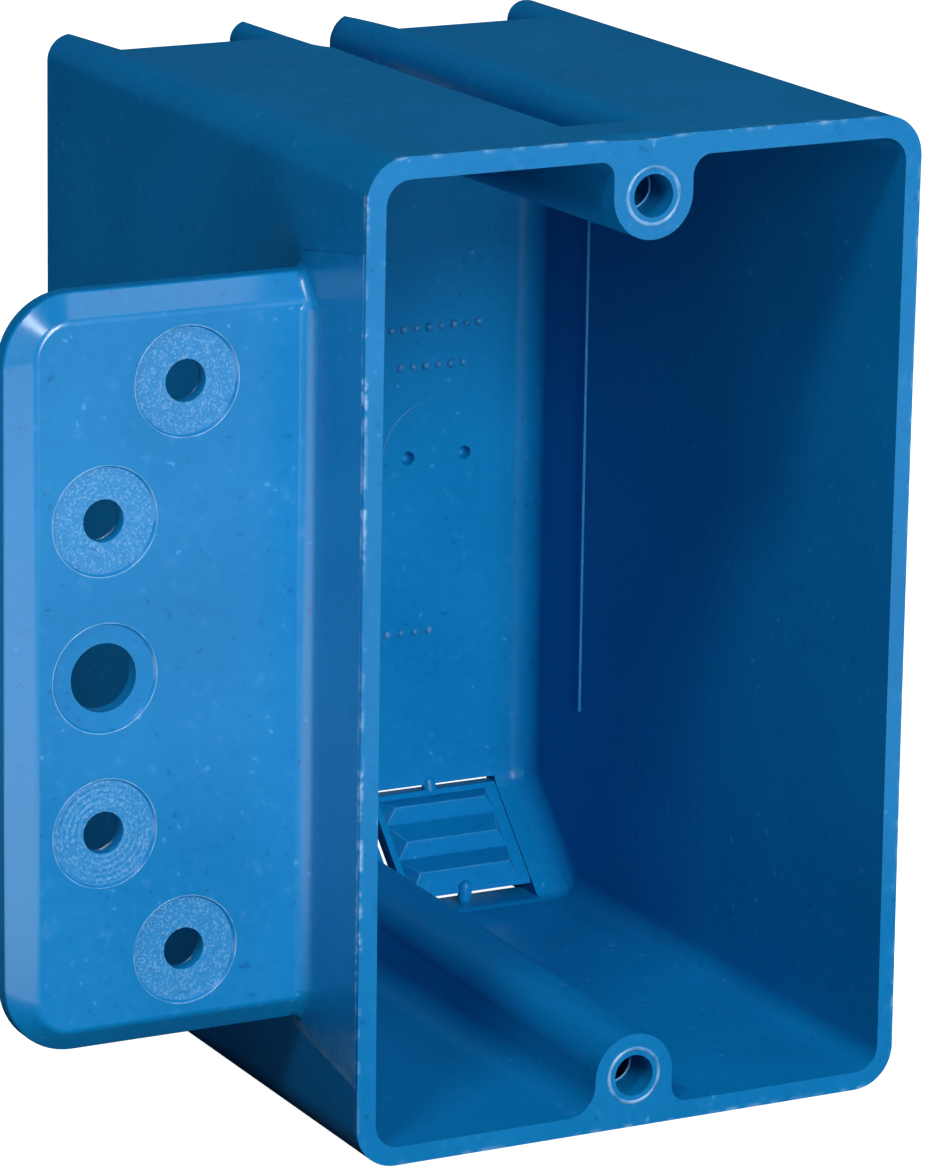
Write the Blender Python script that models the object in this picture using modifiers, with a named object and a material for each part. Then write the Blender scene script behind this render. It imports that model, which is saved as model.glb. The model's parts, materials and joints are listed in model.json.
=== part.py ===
"""Single-gang new-work outlet box, moulded in one piece.

Box coordinates used below (millimetres, turned into metres by MM):
  X to the right, Y from the open front into the box, Z up,
  origin on the plane of the front rim, midway between the two device screws.
The finished object is shifted so that the world origin is the centre of the
bottom of its bounding box.
"""
import math

import bmesh
import bpy
from mathutils import Vector

# ---------------------------------------------------------------- dimensions
MM = 0.001

# shell, measured on the rim plane
LEFT, RIGHT = -28.83, 28.08
TOP, BOTTOM = 47.15, -46.70
IN_LEFT, IN_RIGHT = -26.89, 26.44
IN_TOP, IN_BOTTOM = 45.10, -44.95
DEPTH = 70.9
BACK_INNER = 69.2
DRAFT_X, DRAFT_Z = 0.013, 0.008
CORNER_R, CORNER_R_BACK = 4.0, 2.5
INNER_R = 2.4

# sloped cable-entry walls: inner face y + |z| = SLOPE_IN, outer SLOPE_OUT
SLOPE_IN = 103.5
SLOPE_OUT = 107.3

# pockets behind the sloped walls
POCKETS = ((-24.75, -8.30), (5.15, 22.60))
POCKET_DRAFT = 0.08
EAR_R = 1.9

# device screw bosses
SCREW_Z = 41.67
BOSS_R = 4.05
SCREW_R = 2.0
SCREW_DEPTH = 4.6

# coring groove outside each boss
GROOVE_FRONT = 7.4

# bracket flange on the left wall
FLANGE_Y = 9.73
FLANGE_BACK = 13.2
FLANGE_LEFT = -58.57
FLANGE_TOP = 35.12
FLANGE_R = 6.6
FLANGE_WALL = 1.9
FLANGE_HOLES = (
    (-49.6, 0.0, 3.20),
    (-49.6, 14.45, 1.98),
    (-49.6, -14.45, 1.98),
    (-41.6, 26.46, 1.98),
    (-41.6, -26.46, 1.98),
)
RECESS_R, RECESS_DEPTH = 5.10, 0.36

# break-out flap in each pocket
FLAP_MID = ((-16.5,), (14.0,))
OPEN_HALF_L, OPEN_HALF_R = 7.85, 7.65
FLAP_HALF_L, FLAP_HALF_R = 6.75, 7.45
OPEN_Z0, OPEN_Z1 = 33.95, 44.22
DIMPLE_X, DIMPLE_Z = (11.16, 17.56), 0.8
DIMPLE_R, DIMPLE_DEPTH = 0.72, 1.1
TAB_R = 0.8

SIDES = 24

# ------------------------------------------------------------------- set-up
for old in list(bpy.data.objects):
    bpy.data.objects.remove(old, do_unlink=True)

parts = bpy.data.collections.new("new_work_outlet_box")
cutters = bpy.data.collections.new("cutters")
bpy.context.scene.collection.children.link(parts)
bpy.context.scene.collection.children.link(cutters)


def add_object(name, bm, collection):
    bmesh.ops.recalc_face_normals(bm, faces=bm.faces)
    mesh = bpy.data.meshes.new(name)
    bm.to_mesh(mesh)
    bm.free()
    obj = bpy.data.objects.new(name, mesh)
    collection.objects.link(obj)
    if collection is cutters:
        obj.hide_render = True
        obj.display_type = "WIRE"
    return obj


def extrude_outline(bm, outline, step):
    """Face through the outline's points, extruded by the vector step.

    Returns the vertices of the far end, in no fixed order."""
    verts = [bm.verts.new(Vector(p) * MM) for p in outline]
    face = bm.faces.new(verts)
    out = bmesh.ops.extrude_face_region(bm, geom=[face])
    far = [g for g in out["geom"] if isinstance(g, bmesh.types.BMVert)]
    bmesh.ops.translate(bm, verts=far, vec=Vector(step) * MM)
    bm.faces.new(list(reversed(verts))) if face not in bm.faces else None
    return far


def prism_y(name, outline, y0, y1, collection=None):
    """Outline of (x, z) points swept from y0 to y1."""
    bm = bmesh.new()
    extrude_outline(bm, [(x, y0, z) for x, z in outline], (0, y1 - y0, 0))
    close_ends(bm)
    return add_object(name, bm, collection or cutters)


def prism_x(name, outline, x0, x1, collection=None):
    """Outline of (y, z) points swept from x0 to x1."""
    bm = bmesh.new()
    extrude_outline(bm, [(x0, y, z) for y, z in outline], (x1 - x0, 0, 0))
    close_ends(bm)
    return add_object(name, bm, collection or cutters)


def close_ends(bm):
    """Cap any outline that the extrusion left open."""
    rim = [e for e in bm.edges if len(e.link_faces) == 1]
    if rim:
        bmesh.ops.holes_fill(bm, edges=rim, sides=0)


def loft_y(name, rings):
    """Solid through rings of equal point count, each (y, [(x, z), ...])."""
    bm = bmesh.new()
    loops = []
    for y, pts in rings:
        verts = [bm.verts.new(Vector((x, y, z)) * MM) for x, z in pts]
        count = len(verts)
        for i in range(count):
            bm.edges.new((verts[i], verts[(i + 1) % count]))
        loops.append(bm.edges[:][-count:])
        bm.edges.ensure_lookup_table()
    for a, b in zip(loops, loops[1:]):
        bmesh.ops.bridge_loops(bm, edges=list(a) + list(b))
    close_ends(bm)
    return add_object(name, bm, cutters)


def cylinder_y(name, x, z, y0, y1, radius, sides=SIDES):
    bm = bmesh.new()
    bmesh.ops.create_cone(
        bm, cap_ends=True, segments=sides,
        radius1=radius * MM, radius2=radius * MM, depth=(y1 - y0) * MM)
    for v in bm.verts:
        v.co = Vector((v.co.x, v.co.z, v.co.y))
    bmesh.ops.translate(
        bm, verts=bm.verts, vec=Vector((x, (y0 + y1) / 2, z)) * MM)
    return add_object(name, bm, cutters)


def arc(cx, cz, r, a0, a1, steps):
    """Points on a circle from angle a0 to a1, in degrees."""
    out = []
    for i in range(steps + 1):
        a = math.radians(a0 + (a1 - a0) * i / steps)
        out.append((cx + r * math.cos(a), cz + r * math.sin(a)))
    return out


def round_rect(x0, x1, z0, z1, r, steps=6):
    return (arc(x1 - r, z1 - r, r, 0, 90, steps)
            + arc(x0 + r, z1 - r, r, 90, 180, steps)
            + arc(x0 + r, z0 + r, r, 180, 270, steps)
            + arc(x1 - r, z0 + r, r, 270, 360, steps))


def boolean(target, tool, operation):
    mod = target.modifiers.new(tool.name, "BOOLEAN")
    mod.operation = operation
    mod.solver = "EXACT"
    mod.object = tool
    return mod


# -------------------------------------------------------------- outer shell
def outer_ring(y):
    dx, dz = DRAFT_X * y, DRAFT_Z * y
    r = CORNER_R + (CORNER_R_BACK - CORNER_R) * y / DEPTH
    return y, round_rect(LEFT + dx, RIGHT - dx, BOTTOM + dz, TOP - dz, r)


box = loft_y("outlet_box", [outer_ring(0.0), outer_ring(DEPTH)])
cutters.objects.unlink(box)
parts.objects.link(box)
box.hide_render = False
box.display_type = "TEXTURED"

# ------------------------------------------------------------------- cavity
front = -12.0
z_top = IN_TOP - DRAFT_Z * 59
z_bot = IN_BOTTOM + DRAFT_Z * 59
profile = [
    (front, IN_BOTTOM + DRAFT_Z * front),
    (SLOPE_IN + z_bot, z_bot),
    (BACK_INNER, -(SLOPE_IN - BACK_INNER)),
    (BACK_INNER, SLOPE_IN - BACK_INNER),
    (SLOPE_IN - z_top, z_top),
    (front, IN_TOP - DRAFT_Z * front),
]
bm = bmesh.new()
extrude_outline(bm, [(-1.0, y, z) for y, z in profile], (2.0, 0, 0))
close_ends(bm)
for v in bm.verts:
    y = v.co.y / MM
    side = IN_LEFT + DRAFT_X * y if v.co.x < 0 else IN_RIGHT - DRAFT_X * y
    v.co.x = side * MM
cavity = add_object("cavity", bm, cutters)
bevel = cavity.modifiers.new("corner_fillets", "BEVEL")
bevel.width = INNER_R * MM
bevel.segments = 4
bevel.limit_method = "ANGLE"
bevel.angle_limit = math.radians(60)
boolean(box, cavity, "DIFFERENCE")


# ------------------------------------------ ridges that carry the screw bosses
def ridge_front(s):
    """U-shaped boss with its flared root, s = +1 top, -1 bottom."""
    wall = IN_TOP if s > 0 else IN_BOTTOM
    left, right = (1.5, 2.2) if s > 0 else (2.6, 1.5)
    inner = abs(wall)
    up = inner + 1.2
    pts = [(-BOSS_R - left, up), (-BOSS_R - left, inner)]
    pts += arc(-BOSS_R - left, inner - left, left, 90, 0, 4)[1:]
    pts += arc(0, SCREW_Z, BOSS_R, 180, 360, 12)
    pts += arc(BOSS_R + right, inner - right, right, 180, 90, 4)[:-1]
    pts += [(BOSS_R + right, inner), (BOSS_R + right, up)]
    return [(x, s * z) for x, z in pts]


def ridge_back(s):
    """Deeper, flatter section of the ridge where it meets the back wall."""
    wall = (IN_TOP if s > 0 else -IN_BOTTOM) - DRAFT_Z * 69
    left, right = (1.5, 2.2) if s > 0 else (2.6, 1.5)
    half, root, crown = 4.1, 4.95, 37.2
    up = wall + 1.2
    pts = [(-root - left, up), (-root - left, wall)]
    pts += arc(-root - left, wall - left, left, 90, 0, 4)[1:]
    pts += arc(-half + 1.6, crown + 1.6, 1.6, 180, 270, 6)
    pts += arc(half - 2.2, crown + 2.2, 2.2, 270, 360, 6)[:-1]
    pts += [(half + 0.05, crown + 2.6)]
    pts += arc(root + right, wall - right, right, 180, 90, 4)[:-1]
    pts += [(root + right, wall), (root + right, up)]
    return [(x, s * z) for x, z in pts]


for s, tag in ((1, "top"), (-1, "bottom")):
    near, far = ridge_front(s), ridge_back(s)
    ridge = loft_y("ridge_" + tag, [(0.0, near), (BACK_INNER + 0.9, far)])
    boolean(box, ridge, "UNION")


# ------------------------------------------------- grooves that core the ridges
def groove_ring(s, y):
    """Open groove: steep left flank, rounded right flank."""
    t = (y - SCREW_DEPTH) / (DEPTH - SCREW_DEPTH)
    edge = -5.6 - 1.2 * max(0.0, (y - 45) / (DEPTH - 45))
    right = 1.95 + 0.75 * t
    floor = 39.35 - 0.35 * t
    top = abs(TOP if s > 0 else BOTTOM) - DRAFT_Z * y
    r = 2.8
    pts = [(edge - 0.9, top + 1.0), (edge, top)]
    pts += [(-3.35 - 0.35 * t, top - 2.6), (-2.45 - 0.1 * t, floor + 1.0)]
    pts += [(-1.6, floor), (1.0, floor), (right - 0.05, floor + 1.2)]
    pts += arc(right + r, top - r, r, 180, 105, 6)
    pts += [(right + r + 0.6, top + 1.0)]
    return y, [(x, s * z) for x, z in pts]


for s, tag in ((1, "top"), (-1, "bottom")):
    groove = loft_y("groove_" + tag, [
        groove_ring(s, SCREW_DEPTH), groove_ring(s, 45.0),
        groove_ring(s, DEPTH + 5.0)])
    # the front end climbs to the surface at 45 degrees
    bm = bmesh.new()
    bm.from_mesh(groove.data)
    edge = abs(TOP if s > 0 else BOTTOM) - DRAFT_Z * GROOVE_FRONT
    bmesh.ops.bisect_plane(
        bm, geom=bm.verts[:] + bm.edges[:] + bm.faces[:],
        plane_co=Vector((0, GROOVE_FRONT, s * edge)) * MM,
        plane_no=Vector((0, -1, s)).normalized(), clear_outer=True)
    close_ends(bm)
    bmesh.ops.recalc_face_normals(bm, faces=bm.faces)
    bm.to_mesh(groove.data)
    bm.free()
    boolean(box, groove, "DIFFERENCE")


# ------------------------------------------------------------------ pockets
def pocket_ring(x0, x1, s, y):
    """Left wall square, right wall rolled over at the outer surface."""
    top = abs(TOP if s > 0 else BOTTOM) - DRAFT_Z * y
    left = x0 - POCKET_DRAFT * (y - 60.5)
    right = x1
    pts = [(left, 30.0), (left, top + 2.0)]
    pts += [(right + EAR_R + 0.6, top + 2.0)]
    pts += list(reversed(arc(right + EAR_R, top - EAR_R, EAR_R, 180, 105, 5)))
    pts += [(right, 30.0)]
    return y, [(x, s * z) for x, z in pts]


for s, tag in ((1, "top"), (-1, "bottom")):
    for (x0, x1), side in zip(POCKETS, ("left", "right")):
        pocket = loft_y("pocket_%s_%s" % (tag, side), [
            pocket_ring(x0, x1, s, 55.0), pocket_ring(x0, x1, s, DEPTH + 4.0)])
        bm = bmesh.new()
        bm.from_mesh(pocket.data)
        bmesh.ops.bisect_plane(
            bm, geom=bm.verts[:] + bm.edges[:] + bm.faces[:],
            plane_co=Vector((0, SLOPE_OUT - 40.0, s * 40.0)) * MM,
            plane_no=Vector((0, -1, -s)).normalized(), clear_outer=True)
        close_ends(bm)
        bmesh.ops.recalc_face_normals(bm, faces=bm.faces)
        bm.to_mesh(pocket.data)
        bm.free()
        boolean(box, pocket, "DIFFERENCE")

# ------------------------------------------------- openings round the flaps
for s, tag in ((1, "top"), (-1, "bottom")):
    for (mid,), side in zip(FLAP_MID, ("left", "right")):
        outline = [(mid - OPEN_HALF_L, s * OPEN_Z0), (mid + OPEN_HALF_R, s * OPEN_Z0),
                   (mid + OPEN_HALF_R, s * OPEN_Z1), (mid - OPEN_HALF_L, s * OPEN_Z1)]
        opening = prism_y("opening_%s_%s" % (tag, side), outline, 57.0, DEPTH + 4.0)
        boolean(box, opening, "DIFFERENCE")

# -------------------------------------------------------------------- flaps
# Section of a flap (y, z with z measured outwards): a toothed inner face of
# upright risers and leaning treads, and a plain sloped outer face.
FLAP_SECTION = [
    (68.63, 34.87), (68.20, 35.15), (66.55, 35.10), (66.55, 36.95),
    (63.70, 37.96), (63.70, 39.80), (60.85, 40.45), (60.85, 43.00),
    (62.75, 43.00), (70.45, 35.30), (70.45, 34.87),
]
for s, tag in ((1, "top"), (-1, "bottom")):
    for (mid,), side in zip(FLAP_MID, ("left", "right")):
        flap = prism_x("flap_%s_%s" % (tag, side),
                       [(y, s * z) for y, z in FLAP_SECTION],
                       mid - FLAP_HALF_L, mid + FLAP_HALF_R)
        boolean(box, flap, "UNION")
        # tabs that hold the flap until it is broken out
        upper = prism_y("tab_in_%s_%s" % (tag, side),
                        [(mid - TAB_R, s * 33.0), (mid + TAB_R, s * 33.0),
                         (mid + TAB_R, s * 35.4), (mid - TAB_R, s * 35.4)],
                        68.55, 69.9)
        boolean(box, upper, "UNION")
        lower = prism_y("tab_out_%s_%s" % (tag, side),
                        [(mid - TAB_R, s * 42.0), (mid + TAB_R, s * 42.0),
                         (mid + TAB_R, s * 44.6), (mid - TAB_R, s * 44.6)],
                        60.2, 61.7)
        boolean(box, lower, "UNION")

# --------------------------------------------------- bracket flange and web


def flange_ring(y, inset, right=-27.9):
    r = FLANGE_R - inset
    left, top = FLANGE_LEFT + inset, FLANGE_TOP - inset
    pts = [(right, -top), (right, top)]
    pts += arc(left + r, top - r, r, 90, 180, 5)
    pts += arc(left + r, -top + r, r, 180, 270, 5)
    return y, pts


flange = loft_y("flange", [
    flange_ring(FLANGE_Y, 2.6), flange_ring(FLANGE_Y + 0.45, 1.5),
    flange_ring(FLANGE_Y + 1.6, 0.25), flange_ring(FLANGE_Y + 2.4, 0.0),
    flange_ring(FLANGE_BACK, 0.0)])
boolean(box, flange, "UNION")
recess = loft_y("flange_recess", [
    flange_ring(FLANGE_Y + FLANGE_WALL, 2.6, -31.0),
    flange_ring(FLANGE_BACK + 1.0, 1.9, -31.0)])
boolean(box, recess, "DIFFERENCE")

# thickened wall between the rim and the flange, with leaning ends
bm = bmesh.new()
for y, proud, z_hi, z_lo, run in ((0.0, 0.10, 37.8, -38.0, 0.8),
                                  (FLANGE_Y + 0.6, 0.62, 35.1, -35.1, 1.9)):
    wall = LEFT + DRAFT_X * y
    for x, z in ((wall - proud, z_hi), (wall - proud, z_lo),
                 (wall + 0.5, z_hi + run + 0.9), (wall + 0.5, z_lo - run - 0.9)):
        bm.verts.new(Vector((x, y, z)) * MM)
bmesh.ops.convex_hull(bm, input=bm.verts)
web = add_object("web", bm, cutters)
boolean(box, web, "UNION")

# concave fillet between the web and the face of the flange
wall = LEFT - 0.5
fillet_r = 1.6
curve = [(wall + 0.9, FLANGE_Y + 0.7), (wall + 0.9, FLANGE_Y - fillet_r - 0.1)]
for i in range(6):
    a = math.radians(90 * i / 5)
    curve.append((wall - fillet_r + fillet_r * math.cos(a),
                  FLANGE_Y - fillet_r + fillet_r * math.sin(a)))
curve.append((wall - fillet_r, FLANGE_Y + 0.7))
bm = bmesh.new()
extrude_outline(bm, [(x, y, -33.2) for x, y in curve], (0, 0, 66.4))
close_ends(bm)
web_fillet = add_object("web_fillet", bm, cutters)
boolean(box, web_fillet, "UNION")

# ----------------------------------------------------- holes in the flange
for i, (x, z, r) in enumerate(FLANGE_HOLES):
    ring = cylinder_y("recess_%d" % i, x, z, FLANGE_Y - 2.0,
                      FLANGE_Y + RECESS_DEPTH, RECESS_R, 32)
    boolean(box, ring, "DIFFERENCE")
    hole = cylinder_y("hole_%d" % i, x, z, FLANGE_Y - 2.0, FLANGE_BACK + 2.0, r)
    boolean(box, hole, "DIFFERENCE")

# -------------------------------------------------------------- screw holes
for z, tag in ((SCREW_Z, "top"), (-SCREW_Z, "bottom")):
    screw = cylinder_y("screw_" + tag, 0.0, z, -2.0, SCREW_DEPTH + 1.5, SCREW_R)
    boolean(box, screw, "DIFFERENCE")

# ----------------------------------- small moulded marks inside the cavity
x_wall = IN_RIGHT - DRAFT_X * 58.5
rib = prism_y("wall_rib", [(x_wall - 0.28, -24.7), (x_wall + 0.6, -24.7),
                           (x_wall + 0.6, 26.7), (x_wall - 0.28, 26.7)],
              58.3, 58.65)
boolean(box, rib, "UNION")
for i, x in enumerate(DIMPLE_X):
    dimple = cylinder_y("dimple_%d" % i, x, DIMPLE_Z, BACK_INNER - 1.0,
                        BACK_INNER + DIMPLE_DEPTH, DIMPLE_R, 12)
    boolean(box, dimple, "DIFFERENCE")

# ----------------------------------------------------------------- material
plastic = bpy.data.materials.new("blue_pvc")
plastic.use_nodes = True
shader = plastic.node_tree.nodes["Principled BSDF"]
shader.inputs["Base Color"].default_value = (0.012, 0.155, 0.46, 1.0)
shader.inputs["Roughness"].default_value = 0.42
shader.inputs["Metallic"].default_value = 0.0
box.data.materials.append(plastic)
box.data.shade_smooth()
box.data.set_sharp_from_angle(angle=math.radians(35))

# world origin: centre of the bottom of the bounding box
box.location = Vector((
    -(FLANGE_LEFT + RIGHT) / 2, -DEPTH / 2, -BOTTOM)) * MM
for obj in cutters.objects:
    obj.location = box.location
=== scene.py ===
"""Looks of the new work outlet box: detailed moulding, satin PVC, studio light.

Box coordinates (millimetres): X right, Y from the open front into the box,
Z up, origin on the rim plane midway between the device screws. OFFSET turns
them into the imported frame.
"""

import json
import math
import random

import bmesh
import bpy
import numpy as np
from mathutils import Matrix, Quaternion, Vector

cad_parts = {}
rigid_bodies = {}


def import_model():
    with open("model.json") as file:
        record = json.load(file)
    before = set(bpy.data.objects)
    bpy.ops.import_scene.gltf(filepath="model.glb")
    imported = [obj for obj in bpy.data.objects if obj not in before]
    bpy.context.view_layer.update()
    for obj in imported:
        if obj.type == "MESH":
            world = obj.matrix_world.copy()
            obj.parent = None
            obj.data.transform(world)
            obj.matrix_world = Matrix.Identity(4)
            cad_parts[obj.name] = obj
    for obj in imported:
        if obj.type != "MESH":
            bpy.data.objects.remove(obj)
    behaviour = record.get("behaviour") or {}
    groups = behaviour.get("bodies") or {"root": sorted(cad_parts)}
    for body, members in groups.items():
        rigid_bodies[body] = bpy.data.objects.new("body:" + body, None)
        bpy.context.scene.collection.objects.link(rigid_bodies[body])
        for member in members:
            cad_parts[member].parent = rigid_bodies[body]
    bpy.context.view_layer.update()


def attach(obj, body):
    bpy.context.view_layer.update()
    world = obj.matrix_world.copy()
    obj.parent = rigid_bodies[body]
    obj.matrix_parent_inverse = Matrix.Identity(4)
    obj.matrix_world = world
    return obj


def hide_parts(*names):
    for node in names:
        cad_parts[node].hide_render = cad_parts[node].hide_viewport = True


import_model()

MM = 0.001
OFFSET = Vector((15.245, -35.45, 46.70))

# shell
LEFT, RIGHT, TOP, BOTTOM = -28.83, 28.08, 47.15, -46.70
IN_LEFT, IN_RIGHT, IN_TOP, IN_BOTTOM = -26.89, 26.44, 45.10, -44.95
DEPTH, BACK_INNER = 70.9, 69.2
RIM_Y = 0.10
DRAFT_X, DRAFT_Z = 0.013, 0.008
CORNER_R, CORNER_R_BACK = 4.0, 2.5
SLOPE_IN, SLOPE_OUT = 103.5, 107.3
POCKETS = ((-24.75, -8.30), (5.15, 22.60))
POCKET_DRAFT = 0.08
EAR_R = 1.9
SCREW_Z, SCREW_R, SCREW_DEPTH, BOSS_R = 41.67, 2.0, 4.6, 4.05
GROOVE_FRONT = 7.4
FLANGE_Y, FLANGE_BACK, FLANGE_LEFT, FLANGE_TOP = 9.73, 13.2, -58.57, 35.12
FLANGE_R, FLANGE_WALL = 6.6, 1.9
FLANGE_HOLES = ((-49.6, 0.0, 3.20), (-49.6, 14.45, 1.98), (-49.6, -14.45, 1.98),
                (-41.6, 26.46, 1.98), (-41.6, -26.46, 1.98))
RECESS_R, RECESS_DEPTH = 5.10, 0.36
FLAP_MID = (-16.5, 14.0)
OPEN_HALF_L, OPEN_HALF_R = 7.85, 7.65
FLAP_HALF_L, FLAP_HALF_R = 6.75, 7.58
OPEN_Z0, OPEN_Z1 = 33.95, 44.22
TAB_R = 0.8
DIMPLE_X, DIMPLE_Z = (11.16, 17.56), 0.8

work = bpy.data.collections.new("work")
bpy.context.scene.collection.children.link(work)


# ------------------------------------------------------------------ mesh tools
def to_object(name, bm):
    bmesh.ops.recalc_face_normals(bm, faces=bm.faces)
    mesh = bpy.data.meshes.new(name)
    bm.to_mesh(mesh)
    bm.free()
    obj = bpy.data.objects.new(name, mesh)
    work.objects.link(obj)
    return obj


def cap(bm):
    rim = [e for e in bm.edges if len(e.link_faces) == 1]
    if rim:
        bmesh.ops.holes_fill(bm, edges=rim, sides=0)


def add_loft(bm, rings):
    """Closed solid through rings of 3-D points, all with the same count."""
    rows = [[bm.verts.new(Vector(p) * MM) for p in ring] for ring in rings]
    n = len(rows[0])
    for a, b in zip(rows, rows[1:]):
        for i in range(n):
            j = (i + 1) % n
            bm.faces.new((a[i], a[j], b[j], b[i]))
    bm.faces.new(rows[0])
    bm.faces.new(list(reversed(rows[-1])))


def loft_y(rings):
    """Rings given as (y, [(x, z), ...])."""
    bm = bmesh.new()
    add_loft(bm, [[(x, y, z) for x, z in pts] for y, pts in rings])
    return bm


def loft_x(rings):
    """Rings given as (x, [(y, z), ...])."""
    bm = bmesh.new()
    add_loft(bm, [[(x, y, z) for y, z in pts] for x, pts in rings])
    return bm


def join(bms):
    """Several bmeshes as one; the others are freed."""
    out = bms[0]
    for other in bms[1:]:
        mesh = bpy.data.meshes.new("join")
        other.to_mesh(mesh)
        other.free()
        out.from_mesh(mesh)
        bpy.data.meshes.remove(mesh)
    return out


def arc(cx, cz, r, a0, a1, steps):
    out = []
    for i in range(steps + 1):
        a = math.radians(a0 + (a1 - a0) * i / steps)
        out.append((cx + r * math.cos(a), cz + r * math.sin(a)))
    return out


def round_rect(x0, x1, z0, z1, r, steps=12):
    return (arc(x1 - r, z1 - r, r, 0, 90, steps)
            + arc(x0 + r, z1 - r, r, 90, 180, steps)
            + arc(x0 + r, z0 + r, r, 180, 270, steps)
            + arc(x1 - r, z0 + r, r, 270, 360, steps))


def cut_plane(bm, co, no):
    """Removes what lies on the side that no points to, and caps the cut."""
    bmesh.ops.bisect_plane(
        bm, geom=bm.verts[:] + bm.edges[:] + bm.faces[:],
        plane_co=Vector(co) * MM, plane_no=Vector(no).normalized(),
        clear_outer=True)
    cap(bm)


def cylinder_y(x, z, y0, y1, r, sides):
    return loft_y([(y0, arc(x, z, r, 0, 360, sides)[:-1]),
                   (y1, arc(x, z, r, 0, 360, sides)[:-1])])


def boolean(target, tool, operation):
    mod = target.modifiers.new(tool.name, "BOOLEAN")
    mod.operation = operation
    mod.solver = "EXACT"
    mod.object = tool
    return mod


def applied(obj, name):
    """New mesh of the object with its modifiers applied."""
    bpy.context.view_layer.update()
    deps = bpy.context.evaluated_depsgraph_get()
    mesh = bpy.data.meshes.new_from_object(obj.evaluated_get(deps))
    mesh.name = name
    return mesh


# ------------------------------------------------------------- shell and cavity
def outer_ring(y):
    dx, dz = DRAFT_X * y, DRAFT_Z * y
    r = CORNER_R + (CORNER_R_BACK - CORNER_R) * y / DEPTH
    return y, round_rect(LEFT + dx, RIGHT - dx, BOTTOM + dz, TOP - dz, r)


box = to_object("outlet_box_body", loft_y([outer_ring(RIM_Y), outer_ring(DEPTH)]))

front = -12.0
z_top = IN_TOP - DRAFT_Z * 59
z_bot = IN_BOTTOM + DRAFT_Z * 59
profile = [
    (front, IN_BOTTOM + DRAFT_Z * front),
    (SLOPE_IN + z_bot, z_bot),
    (BACK_INNER, -(SLOPE_IN - BACK_INNER)),
    (BACK_INNER, SLOPE_IN - BACK_INNER),
    (SLOPE_IN - z_top, z_top),
    (front, IN_TOP - DRAFT_Z * front),
]
bm = bmesh.new()
add_loft(bm, [[(side, y, z) for y, z in profile] for side in (-1.0, 1.0)])
for v in bm.verts:
    y = v.co.y / MM
    side = IN_LEFT + DRAFT_X * y if v.co.x < 0 else IN_RIGHT - DRAFT_X * y
    v.co.x = side * MM
cavity = to_object("cavity", bm)
bevel = cavity.modifiers.new("corner_fillets", "BEVEL")
bevel.width = 2.4 * MM
bevel.segments = 8
bevel.limit_method = "ANGLE"
bevel.angle_limit = math.radians(60)
soft = cavity.modifiers.new("slope_fillets", "BEVEL")
soft.width = 0.8 * MM
soft.segments = 3
soft.limit_method = "ANGLE"
soft.angle_limit = math.radians(35)
boolean(box, cavity, "DIFFERENCE")


# ------------------------------------------------------------------ boss ridges
def ridge_front(s):
    """U-shaped boss with its flared root, s = +1 top, -1 bottom."""
    inner = abs(IN_TOP if s > 0 else IN_BOTTOM) + 0.03
    left, right = (1.5, 2.0) if s > 0 else (2.9, 1.7)
    up = inner + 1.2
    pts = [(-BOSS_R - left, up), (-BOSS_R - left, inner)]
    pts += arc(-BOSS_R - left, inner - left, left, 90, 0, 8)[1:]
    pts += arc(0, SCREW_Z, BOSS_R, 180, 360, 28)
    pts += arc(BOSS_R + right, inner - right, right, 180, 90, 8)[:-1]
    pts += [(BOSS_R + right, inner), (BOSS_R + right, up)]
    return pts


def ridge_back(s):
    """Deeper, flatter section of the ridge where it meets the back wall."""
    wall = (IN_TOP if s > 0 else -IN_BOTTOM) - DRAFT_Z * 70 + 0.03
    left, right = (1.5, 2.2) if s > 0 else (2.6, 1.5)
    half, root, crown = 4.1, 4.95, 37.2
    up = wall + 1.2
    pts = [(-root - left, up), (-root - left, wall)]
    pts += arc(-root - left, wall - left, left, 90, 0, 8)[1:]
    pts += arc(-half + 1.6, crown + 1.6, 1.6, 180, 270, 14)
    pts += arc(half - 2.2, crown + 2.2, 2.2, 270, 360, 14)[1:-1]
    pts += [(half + 0.05, crown + 2.6)]
    pts += arc(root + right, wall - right, right, 180, 90, 8)[:-1]
    pts += [(root + right, wall), (root + right, up)]
    return pts


def blend_ring(s, near, far, y0, y1, y):
    t = (y - y0) / (y1 - y0)
    return y, [(a[0] + (b[0] - a[0]) * t, s * (a[1] + (b[1] - a[1]) * t))
               for a, b in zip(near, far)]


bms = []
for s in (1, -1):
    near, far = ridge_front(s), ridge_back(s)
    bms.append(loft_y([blend_ring(s, near, far, 0.0, BACK_INNER + 0.9, y)
                       for y in (RIM_Y, 24.0, 48.0, BACK_INNER + 0.9)]))
ridges = to_object("ridges", join(bms))
boolean(box, ridges, "UNION")


# ---------------------------------------------------------------------- grooves
GROOVE_EDGE = ((4.6, -5.52), (19.0, -5.67), (29.0, -5.86), (39.0, -5.86),
               (53.6, -5.71), (54.7, -6.30), (55.9, -6.66), (60.0, -6.8),
               (70.0, -6.9), (76.0, -6.92))


def groove_ring(s, y, edge):
    t = (y - SCREW_DEPTH) / (DEPTH - SCREW_DEPTH)
    right = 1.95 + 0.75 * t
    floor = 39.35 - 0.35 * t
    top = abs(TOP if s > 0 else BOTTOM) - DRAFT_Z * y
    r = 2.8
    pts = [(edge - 0.9, top + 1.0), (edge, top)]
    pts += [(-3.35 - 0.35 * t, top - 2.6), (-2.45 - 0.1 * t, floor + 1.0)]
    pts += [(-1.6, floor), (1.0, floor), (right - 0.05, floor + 1.2)]
    pts += arc(right + r, top - r, r, 180, 97, 12)
    pts += [(right + r + 0.6, top + 1.0)]
    return y, [(x, s * z) for x, z in pts]


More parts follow.
